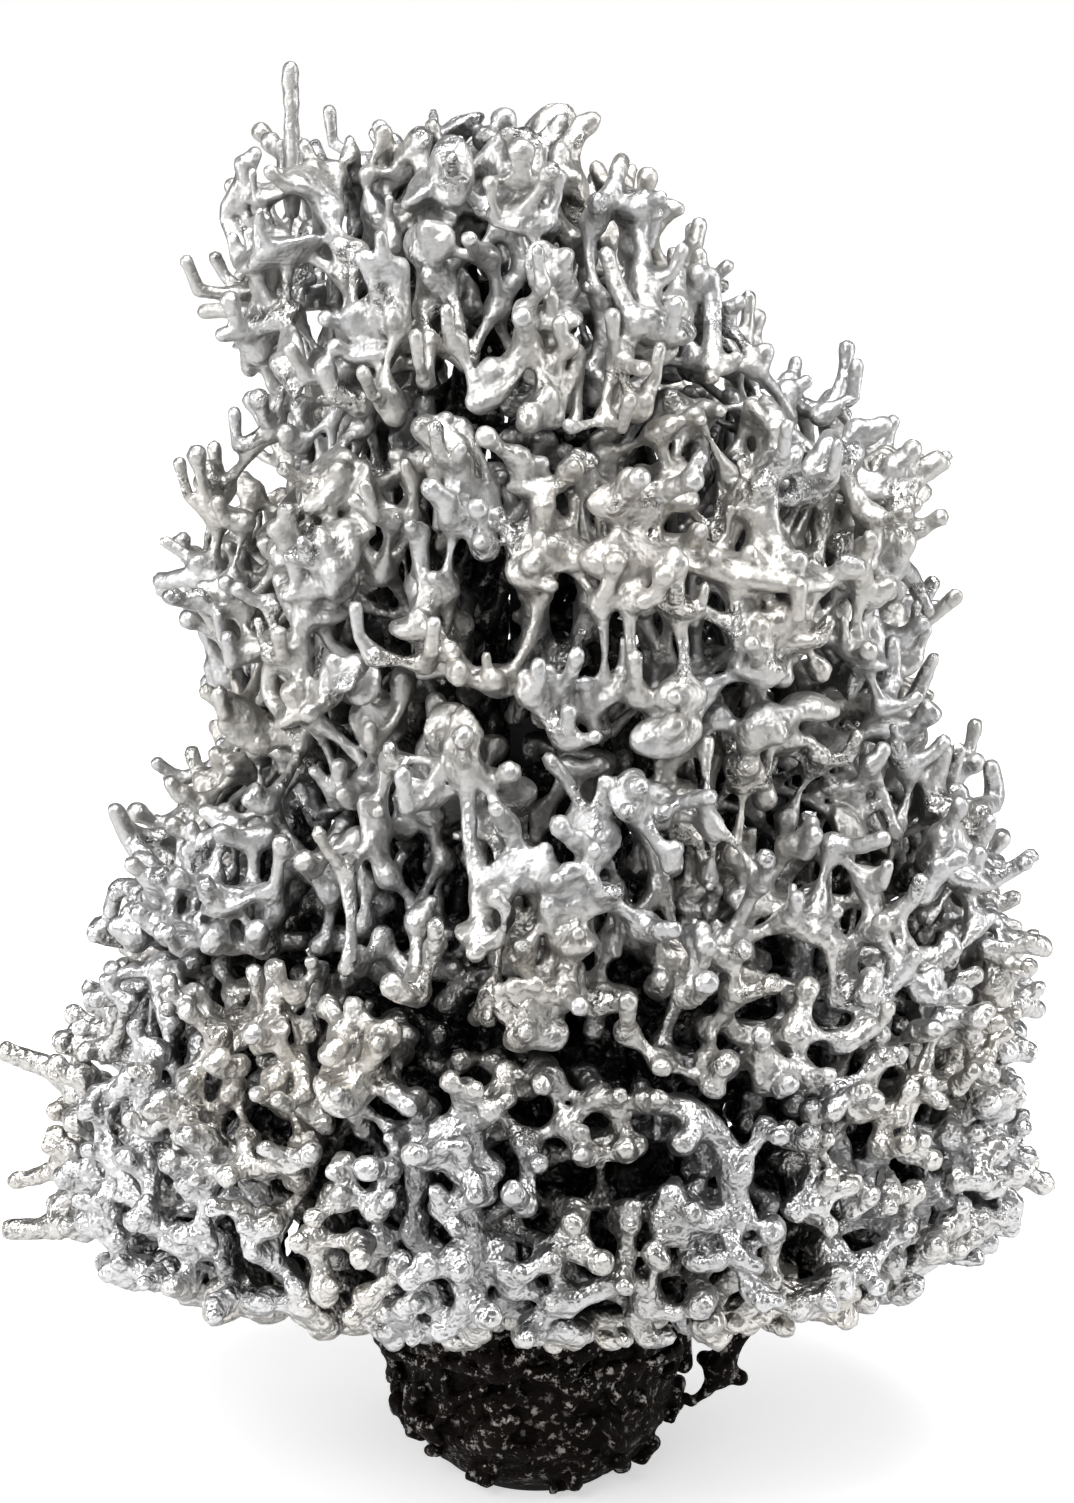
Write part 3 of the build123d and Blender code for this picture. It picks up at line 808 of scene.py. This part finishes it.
def casting(zone, scattered, seed):
    """One casting: its network, fingers, pads and magnet boss, as a mesh that rides on its body."""
    rng = np.random.default_rng(seed)
    boss = Boss(zone.name)
    marks = marks_in(zone)
    room = THICK(scattered[:, 2]) + GAP + rng.uniform(0, UNEVEN_EDGE, len(scattered))
    points = zone.pushed_inside(scattered, room)
    points = points[depth_below(points) > 0]
    bases = [path[0] for _, _, path in marks]
    bases += [path[-1] for kind, _, path in marks if kind == "rod"]
    points = thinned(np.concatenate([np.reshape(bases, (-1, 3)), points]), LEAST_GAP)
    points = points[np.linalg.norm(points - boss.end, axis=1) > LEAST_GAP + 0.5]
    points = np.concatenate([points, boss.end[None]])
    root = len(points) - 1
    links, home = linked(points, root, zone, rng)
    low, high = points[home].min(0) - GROWTH_ROOM, points[home].max(0) + GROWTH_ROOM
    tier = zone.name.split("_")[0]
    field = Field(low, high, SKIRT_BLEND if tier == "skirt" else SHAFT_BLEND, VOXELS[tier])
    grower = Grower(zone, field, rng)
    thick = THICK(points[:, 2]) * rng.uniform(0.8, 1.25, len(points))
    for i, j in links:
        grower.branch(points[i], points[j], thick[i], thick[j])
    depths = depth_below(points)
    for i in np.nonzero(home)[0]:
        if i != root:
            grower.decorate(points[i], thick[i], depths[i])
    for kind, size, path in marks:
        grower.landmark(kind, size, path)
    field.add_path([boss.seat + boss.out, boss.end], [boss.outer_radius] * 2)
    crusty = 1 - AIRY(field.axes()[2])
    distance = field.distances()
    distance += field.noise(LUMP_PITCH, seed) * (0.3 + 0.4 * crusty)
    distance += field.noise(GRIT_PITCH, seed + 1) * (0.12 + 0.42 * crusty)
    piece = mesh_from(zone.name + "_coral", field, trimmed(distance, field, zone, boss))
    return seated(piece, zone.name, zone.name)


def rounded_cut(distance, beyond, edge=2.4):
    """Cuts away what lies beyond a surface and rounds the edge of the cut."""
    near = np.maximum(edge - np.abs(distance - beyond), 0)
    return np.maximum(distance, beyond) + near * near / (4 * edge)


def trimmed(distance, field, zone, boss):
    """Keeps the casting inside its space, flat where it seats and hollow where the magnet goes."""
    x, y, z = field.axes()
    off = [x - boss.seat[0], y - boss.seat[1], z - boss.seat[2]]
    along = off[0] * boss.out[0] + off[1] * boss.out[1] + off[2] * boss.out[2]
    square = off[0] ** 2 + off[1] ** 2 + off[2] ** 2
    across = np.sqrt(np.maximum(square - along ** 2, 0))
    beside_core = np.maximum(distance, zone.core_r - np.hypot(x, y))
    socket = np.maximum(across - boss.outer_radius, along - boss.thickness - KEPT_BEHIND)
    distance = np.minimum(beside_core, np.maximum(distance, socket))
    for side in zone.sides:
        distance = rounded_cut(distance, GAP - side(x, y, z))
    distance = np.maximum(distance, SEAT_PLAY - along)
    pocket = np.maximum(across - (boss.radius + SIDE_PLAY), along - (boss.thickness + END_PLAY))
    return np.maximum(distance, -pocket).astype(np.float32)


# ---- foot, ring, twig and needle -------------------------------------------------------------
def finish_dark(name, field, distance, node):
    piece = mesh_from(name, field, distance.astype(np.float32))
    return seated(piece, "base", node)


def foot(seed=41):
    """The dark bowl of the foot with half-buried knobs and columns, hollow like its CAD shell."""
    rng = np.random.default_rng(seed)
    wide, tall = FOOT_HIGH[0], FOOT_HIGH[2] - FOOT_LOW[2]
    profile = by_height(*((FOOT_LOW[2] + up * tall, wide * out) for up, out in (
        (0, 0.66), (0.1, 0.84), (0.27, 0.98), (0.5, 1.02), (0.76, 1.0), (1, 0.93))))
    field = Field((-wide - 3, -wide - 3, FOOT_LOW[2]), (wide + 3, wide + 3, FOOT_HIGH[2]), 1.6)
    knobs, play = 170, 0.35
    for _ in range(knobs):
        angle, z = rng.uniform(0, 2 * math.pi), FOOT_LOW[2] + tall * rng.uniform(0.02, 0.95)
        radius = profile(z) - rng.uniform(0.0, 1.2)
        start = np.array([radius * math.sin(angle), -radius * math.cos(angle), z])
        turn, rise = rng.uniform(-0.2, 0.2), rng.uniform(-3, 11)
        far = profile(z + rise) - rng.uniform(0, 1.5)
        end = np.array([far * math.sin(angle + turn), -far * math.cos(angle + turn), z + rise])
        thick = rng.uniform(1.2, 2.6)
        field.add_path([start, end], [thick, thick * rng.uniform(0.6, 1.2)])
    x, y, z = field.axes()
    radius = np.hypot(x, y)
    bowl = (radius - profile(z) + 3.0) * 0.85
    field.total += np.exp(-field.sharpness * np.minimum(bowl, 20))
    distance = field.distances() + 0.7 * field.noise(5.0, seed) + 0.45 * field.noise(2.2, seed + 1)
    distance = np.maximum(distance, np.maximum(FOOT_LOW[2] - z, z - FOOT_HIGH[2]))
    bore = box_mm("base_plate")[1][0] + play
    cavity = np.maximum(radius - bore, z - box_mm("core_washer")[1][2] - 0.1)
    spigot = radius - box_mm("lower_core")[1][0] * 0.68
    distance = np.maximum(distance, -np.minimum(cavity, spigot))
    return finish_dark("foot_cast", field, distance, "foot_shell")


def ring_coral(seed=51):
    """Dark short branches round the foot's neck, under the skirt."""
    rng = np.random.default_rng(seed)
    low, high = box_mm("foot_collar")
    middle, height = (FOOT_HIGH[0] + high[0]) / 2, high[2] - low[2]
    field = Field(low - 3, high + 3, 1.4)
    levels = []
    count = 30
    for level in range(3):
        turns = np.arange(count) + 0.5 * level + rng.uniform(-0.25, 0.25, count)
        angles = turns * 2 * math.pi / count
        radii = middle + 1.0 + rng.uniform(-2.0, 2.5, count)
        heights = low[2] + height * (0.15 + 0.35 * level) + rng.uniform(-1.5, 1.5, count)
        levels.append(np.stack([radii * np.sin(angles), -radii * np.cos(angles), heights], 1))
    for level, points in enumerate(levels):
        for i in range(count):
            if level == 1 or rng.uniform() < 0.6:
                field.add_path(bent(points[i], points[(i + 1) % count], 0.15, rng),
                               rng.uniform(1.1, 2.0, 5))
            if level != 1 and rng.uniform() < 0.8:
                field.add_path(bent(points[i], levels[1][i], 0.15, rng), rng.uniform(1.2, 2.0, 5))
            if rng.uniform() < 0.4:
                field.add_ball(points[i], rng.uniform(1.8, 2.8))
    x, y, z = field.axes()
    distance = field.distances() + 0.4 * field.noise(3.0, seed)
    distance = np.maximum(distance, FOOT_HIGH[0] + 1.2 - np.hypot(x, y))
    return finish_dark("ring_coral", field, distance, "foot_collar")


def twig(seed=61):
    """The dark twig that hangs beside the foot: two arms, a knobbly middle and a thin tail."""
    rng = np.random.default_rng(seed)
    low, high = box_mm("hanging_twig")
    y = (low[1] + high[1]) / 2
    width, height = high[0] - low[0], high[2] - low[2]

    def spot(across, up, forward=0.0):
        return np.array([low[0] + across * width, y + forward, low[2] + up * height])

    field = Field(low - 5, high + 4, 1.5, 0.6)
    field.add_path([spot(0.72, 1.0), spot(0.7, 0.75), spot(0.62, 0.52), spot(0.56, 0.36)],
                   [2.2, 1.6, 1.4, 2.4])
    field.add_path([spot(0.98, 0.82, 2), spot(0.92, 0.6, 1), spot(0.66, 0.4)], [2.0, 1.4, 2.2])
    field.add_pad(spot(0.5, 0.27), np.array((0.2, -1.0, 0.1)), UP, (5.4, 4.2, 2.8))
    field.add_path([spot(0.55, 0.25), spot(0.82, 0.2, -1)], [2.6, 2.0])
    field.add_path([spot(0.5, 0.22), spot(0.3, 0.06), spot(0.1, -0.03), spot(0.0, 0.0)],
                   [2.6, 1.7, 1.3, 1.5])
    for _ in range(6):
        field.add_ball(spot(0.52, 0.28) + rng.normal(0, 2.4, 3), rng.uniform(1.4, 2.3))
    distance = field.distances() + 0.35 * field.noise(2.6, seed)
    return finish_dark("twig_cast", field, distance, "hanging_twig")


def needle(seed=71):
    """The thin beaded rod at the top of the tower."""
    rng = np.random.default_rng(seed)
    low, high = box_mm("needle")
    middle, radius = (low + high) / 2, (high[0] - low[0]) / 2
    count = 13                        # beads
    heights = np.linspace(low[2] + radius, high[2] - radius * 0.8, count)
    sway = rng.normal(0, 0.18, (count, 2)).cumsum(0)
    points = np.column_stack([middle[0] + sway[:, 0], middle[1] + sway[:, 1], heights])
    points[0, :2] = middle[:2]
    radii = np.linspace(radius, radius * 0.85, count) * rng.uniform(0.75, 1.1, count)
    field = Field(low - 3, high + 3, 2.0, 0.6)
    field.add_path(points, radii)
    distance = field.distances() + 0.35 * field.noise(2.2, seed)
    piece = mesh_from("needle_cast", field, distance.astype(np.float32))
    return seated(piece, "crown_left", "needle")


# ---- materials -------------------------------------------------------------------------------
class Mixer:
    """Builds a node material a line at a time."""

    def __init__(self, name):
        self.material = bpy.data.materials.new(name)
        self.material.use_nodes = True
        self.tree = self.material.node_tree
        self.shader = next(n for n in self.tree.nodes if n.type == "BSDF_PRINCIPLED")
        self.place = self.node("ShaderNodeTexCoord").outputs["Object"]

    def node(self, kind, **settings):
        made = self.tree.nodes.new(kind)
        for key, value in settings.items():
            setattr(made, key, value)
        return made

    def feed(self, target, value):
        if isinstance(value, bpy.types.NodeSocket):
            self.tree.links.new(value, target)
        else:
            target.default_value = value

    def set(self, node, **inputs):
        for key, value in inputs.items():
            self.feed(node.inputs[key.replace("_", " ")], value)
        return node

    def noise(self, size_mm, detail=3.0, roughness=0.55):
        made = self.node("ShaderNodeTexNoise")
        self.set(made, Vector=self.place, Scale=MM / size_mm, Detail=detail, Roughness=roughness)
        return made.outputs["Fac"]

    def height(self):
        split = self.node("ShaderNodeSeparateXYZ")
        self.feed(split.inputs[0], self.place)
        return split.outputs["Z"]

    def nearness(self, spot, none_at, full_at):
        """1 within full_at of a spot, 0 beyond none_at."""
        gone = self.node("ShaderNodeVectorMath", operation="DISTANCE")
        self.feed(gone.inputs[0], self.place)
        self.feed(gone.inputs[1], spot)
        return self.ramp(gone.outputs["Value"], none_at, full_at)

    def attribute(self, name):
        return self.node("ShaderNodeAttribute", attribute_name=name).outputs["Fac"]

    def ramp(self, value, low, high, to_low=0.0, to_high=1.0):
        made = self.node("ShaderNodeMapRange")
        self.set(made, Value=value, From_Min=low, From_Max=high, To_Min=to_low, To_Max=to_high)
        return made.outputs["Result"]

    def maths(self, operation, a, b=0.5):
        made = self.node("ShaderNodeMath", operation=operation)
        self.feed(made.inputs[0], a)
        self.feed(made.inputs[1], b)
        return made.outputs["Value"]

    def mix(self, share, a, b):
        made = self.node("ShaderNodeMix", data_type="RGBA")
        self.feed(made.inputs["Factor"], share)
        for name, value in (("A", a), ("B", b)):
            target = next(i for i in made.inputs if i.name == name and i.type == "RGBA")
            self.feed(target, (*value, 1.0) if isinstance(value, tuple) else value)
        return next(o for o in made.outputs if o.type == "RGBA")

    def bump(self, height, depth_mm, strength=1.0, normal=None):
        made = self.node("ShaderNodeBump")
        self.set(made, Height=height, Distance=depth_mm / MM, Strength=strength)
        if normal is not None:
            self.set(made, Normal=normal)
        return made.outputs["Normal"]

    def finish(self, **inputs):
        self.set(self.shader, **inputs)
        return self.material


SHADED_HOLLOW = (0.02, -0.11, 0.124)    # the middle of the painted shade in the hollow at the skirt's front, its darkest spot, in metres


def cast_aluminium():
    """Bright cast metal: crumpled low down, satin with pitted patches higher up, with painted shade
    darkening it inside.
    """
    m = Mixer("cast_aluminium")
    low_down = m.ramp(m.height(), 0.11, 0.20, 1.0, 0.0)
    patches = m.ramp(m.maths("SUBTRACT", m.noise(17, 2.0), 0.56), 0.0, 0.08)
    crusty = m.maths("MAXIMUM", low_down, patches)
    pits = m.ramp(m.noise(2.2, 3.0, 0.7), 0.36, 0.46)
    pitted = m.maths("MULTIPLY", m.ramp(patches, 0.0, 1.0, 0.0, 0.8), m.maths("SUBTRACT", 1.0, pits))
    # painted shade: the colour darkens where metal crowds round a point, in the crevices
    crevice = m.ramp(m.attribute("crevice"), 0.42, 0.85, 0.0, 0.8)
    glints = m.ramp(m.noise(3.0, 3.0, 0.7), 0.54, 0.62, 1.0, 0.55)
    # painted shade over the hollow low on the skirt's front: it deepens the shade there and greys the
    # base colour
    hollow_shade = m.nearness(SHADED_HOLLOW, 0.064, 0.028)
    # painted shade deeper below the outline, lifted in spots by the glints noise so bright flecks
    # still show
    deep = m.maths("MULTIPLY", m.attribute("deep"), glints)
    deep = m.maths("MULTIPLY", deep, m.ramp(hollow_shade, 0.0, 1.0, 1.0, 2.2))
    painted_shade = m.maths("MAXIMUM", crevice, m.maths("MINIMUM", deep, 0.99))
    bright = m.mix(m.ramp(m.noise(40, 1.0), 0.42, 0.66), (0.77, 0.77, 0.775), (0.76, 0.73, 0.675))
    bright = m.mix(m.ramp(low_down, 0.0, 1.0, 0.42, 0.0), bright, (0.42, 0.415, 0.40))
    # painted shade: the base colour greys towards the hollow at the skirt's front
    bright = m.mix(m.ramp(hollow_shade, 0.0, 1.0, 0.0, 0.5), bright, (0.36, 0.36, 0.36))
    colour = m.mix(m.ramp(m.noise(0.9, 2.0), 0.42, 0.6, 0.0, 0.2), bright, (0.4, 0.4, 0.41))
    colour = m.mix(pitted, colour, (0.07, 0.07, 0.07))
    # the painted shade of crevices, depth and the front hollow turns the colour nearly black
    colour = m.mix(painted_shade, colour, (0.022, 0.021, 0.020))
    satin = m.ramp(crusty, 0.0, 1.0, 0.39, 0.27)
    rough = m.maths("ADD", satin, m.ramp(m.noise(6, 2.0), 0.3, 0.7, 0.0, 0.15))
    crumple = m.maths("MULTIPLY", m.noise(1.9, 1.5, 0.5), m.ramp(crusty, 0.0, 1.0, 0.38, 1.0))
    dents = m.maths("MULTIPLY", pits, m.ramp(patches, 0.0, 1.0, 0.0, 0.3))
    normal = m.bump(m.maths("ADD", crumple, dents), 1.1, 1.0)
    normal = m.bump(m.noise(4.2, 1.0), 1.2, m.ramp(crusty, 0.0, 1.0, 0.55, 0.8), normal)
    return m.finish(Base_Color=colour, Metallic=1.0, Roughness=rough, Normal=normal)


def dark_casting():
    """Scorched crust, nearly black, with brownish and bare metal glints on the high spots."""
    m = Mixer("dark_casting")
    raised = m.ramp(m.attribute("crevice"), 0.60, 0.40)
    glints = m.maths("MULTIPLY", raised, m.ramp(m.noise(2.6, 3.0, 0.7), 0.55, 0.62))
    colour = m.mix(m.noise(7, 3.0), (0.002, 0.0015, 0.0015), (0.012, 0.008, 0.006))
    colour = m.mix(m.maths("MULTIPLY", glints, 0.9), colour, (0.5, 0.47, 0.44))
    rough = m.ramp(m.noise(2.0, 2.0), 0.3, 0.7, 0.25, 0.5)
    metal = m.ramp(glints, 0.0, 0.4, 0.0, 1.0)
    normal = m.bump(m.noise(1.4, 4.0, 0.65), 0.8, 1.0)
    normal = m.bump(m.noise(3.4, 2.0), 1.2, 1.0, normal)
    return m.finish(Base_Color=colour, Metallic=metal, Roughness=rough, Normal=normal,
                    Specular_IOR_Level=0.06)


def drawn_metal(name, colour, roughness, streak):
    """Plain turned or drawn metal: fine streaks, slight stains and small dents."""
    m = Mixer(name)
    stretched = m.node("ShaderNodeMapping")
    m.set(stretched, Vector=m.place, Scale=(1.0, 1.0, streak))
    grain = m.node("ShaderNodeTexNoise")
    m.set(grain, Vector=stretched.outputs[0], Scale=MM / 0.6, Detail=3.0)
    dull = tuple(c * 0.7 for c in colour)
    shade = m.mix(m.ramp(m.noise(9, 3.0), 0.35, 0.65), colour, dull)
    rough = m.ramp(grain.outputs["Fac"], 0.3, 0.7, roughness * 0.8, roughness * 1.3)
    normal = m.bump(grain.outputs["Fac"], 0.05, 0.5)
    return m.finish(Base_Color=shade, Metallic=1.0, Roughness=rough, Normal=normal)


def matt(name, colour, roughness, grain_mm):
    """Rubber or paint: a fine uneven grain and faint mottling."""
    m = Mixer(name)
    shade = m.mix(m.noise(6, 2.0), colour, tuple(min(1.0, c * 1.6) for c in colour))
    rough = m.ramp(m.noise(grain_mm * 3, 2.0), 0.3, 0.7, roughness * 0.85, roughness * 1.1)
    return m.finish(Base_Color=shade, Roughness=rough, Normal=m.bump(m.noise(grain_mm, 2.0), 0.1, 0.6))


def dress_steel():
    """Gives every CAD node that still shows its own material."""
    oxide = drawn_metal("black_oxide", (0.05, 0.05, 0.055), 0.42, 0.05)
    zinc = drawn_metal("zinc_steel", (0.56, 0.56, 0.57), 0.3, 1.0)
    nickel = drawn_metal("bright_nickel", (0.72, 0.69, 0.64), 0.16, 1.0)
    iron = drawn_metal("turned_iron", (0.22, 0.22, 0.23), 0.45, 1.0)
    dressing = {
        oxide: ("lower_core", "upper_core", "top_bar"),
        zinc: ("core_bolt", "core_washer", "bar_screw", "plate_screws"),
        nickel: [name for name in frame["nodes"] if name.endswith("_magnet")],
        iron: ("ballast",),
        matt("black_paint", (0.02, 0.02, 0.02), 0.55, 0.5): ("base_plate",),
        matt("pad_rubber", (0.025, 0.025, 0.025), 0.8, 0.4): ("foot_pad",),
    }
    for material, names in dressing.items():
        for name in names:
            slots = frame["nodes"][name].data.materials
            slots.clear()
            slots.append(material)


# ---- light and camera ------------------------------------------------------------------------
VIEW_RISE = math.radians(15)
VIEW_DISTANCE, VIEW_WIDTH, AIM_HEIGHT = 1.1, 0.2814, 0.2007
AIM = (0, 0, AIM_HEIGHT)
SOFTBOXES = {
    # name: place, width and height in metres, and watts
    "top_box": ((0.1, -0.2, 1.3), (0.8, 0.8), 16),
    "front_box": ((-0.5, -1.3, 1.1), (0.7, 0.6), 12),
    "left_box": ((-1.2, -0.3, 0.5), (0.3, 1.2), 9),
    "right_box": ((1.3, -0.1, 0.6), (0.3, 1.2), 8),
}


def look_at(thing, target):
    thing.rotation_euler = (Vector(target) - thing.location).to_track_quat("-Z", "Y").to_euler()


def add_camera():
    data = bpy.data.cameras.new("camera")
    camera = put("camera", data)
    data.sensor_fit = "HORIZONTAL"
    data.lens = data.sensor_width * VIEW_DISTANCE / VIEW_WIDTH
    data.clip_start = 0.05
    camera.location = (0, -VIEW_DISTANCE * math.cos(VIEW_RISE),
                       AIM_HEIGHT + VIEW_DISTANCE * math.sin(VIEW_RISE))
    look_at(camera, AIM)
    bpy.context.scene.camera = camera


def add_softbox(name, place, size, power):
    data = bpy.data.lights.new(name, "AREA")
    data.shape, data.size, data.size_y, data.energy = "RECTANGLE", size[0], size[1], power
    light = put(name, data)
    light.location = place
    look_at(light, AIM)


def add_world():
    """White where the camera looks, a dim grey studio for light and reflections."""
    world = bpy.data.worlds.new("studio")
    bpy.context.scene.world = world
    world.use_nodes = True
    tree = world.node_tree
    dim = tree.nodes["Background"]
    dim.inputs["Color"].default_value = (0.15, 0.15, 0.152, 1)
    white = tree.nodes.new("ShaderNodeBackground")
    white.inputs["Color"].default_value = (1, 1, 1, 1)
    seen = tree.nodes.new("ShaderNodeLightPath")
    choose = tree.nodes.new("ShaderNodeMixShader")
    tree.links.new(seen.outputs["Is Camera Ray"], choose.inputs[0])
    tree.links.new(dim.outputs[0], choose.inputs[1])
    tree.links.new(white.outputs[0], choose.inputs[2])
    tree.links.new(choose.outputs[0], tree.nodes["World Output"].inputs["Surface"])


def add_floor():
    half = 3.0
    fade = 2.4                        # dimmer within 1 / fade of a metre from the middle
    mesh = bpy.data.meshes.new("floor")
    mesh.from_pydata([(-half, -half, 0), (half, -half, 0), (half, half, 0), (-half, half, 0)],
                     [], [(0, 1, 2, 3)])
    floor = put("floor", mesh)
    m = Mixer("floor")
    seen = m.node("ShaderNodeLightPath").outputs["Is Camera Ray"]
    near = m.node("ShaderNodeTexGradient", gradient_type="SPHERICAL")
    spread = m.node("ShaderNodeMapping")
    m.set(spread, Vector=m.place, Scale=(fade, fade, fade))
    m.set(near, Vector=spread.outputs[0])
    glow = m.ramp(near.outputs["Fac"], 0.0, 1.0, 1.0, 0.5)
    m.set(m.shader, Emission_Strength=m.maths("MULTIPLY", seen, glow))
    mesh.materials.append(m.finish(Base_Color=(0.8, 0.8, 0.8, 1), Roughness=0.9,
                                   Emission_Color=(1, 1, 1, 1)))


def main():
    bpy.context.scene.view_settings.view_transform = "Standard"
    joints_seed, first_casting_seed = 7, 100
    scattered = scatter(np.random.default_rng(joints_seed))
    metal, dark = cast_aluminium(), dark_casting()
    for seed, zone in enumerate(make_zones(), first_casting_seed):
        casting(zone, scattered, seed).data.materials.append(metal)
    needle().data.materials.append(metal)
    for piece in (foot(), ring_coral(), twig()):
        piece.data.materials.append(dark)
    dress_steel()
    add_camera()
    add_world()
    for name, (place, size, power) in SOFTBOXES.items():
        add_softbox(name, place, size, power)
    add_floor()


main()
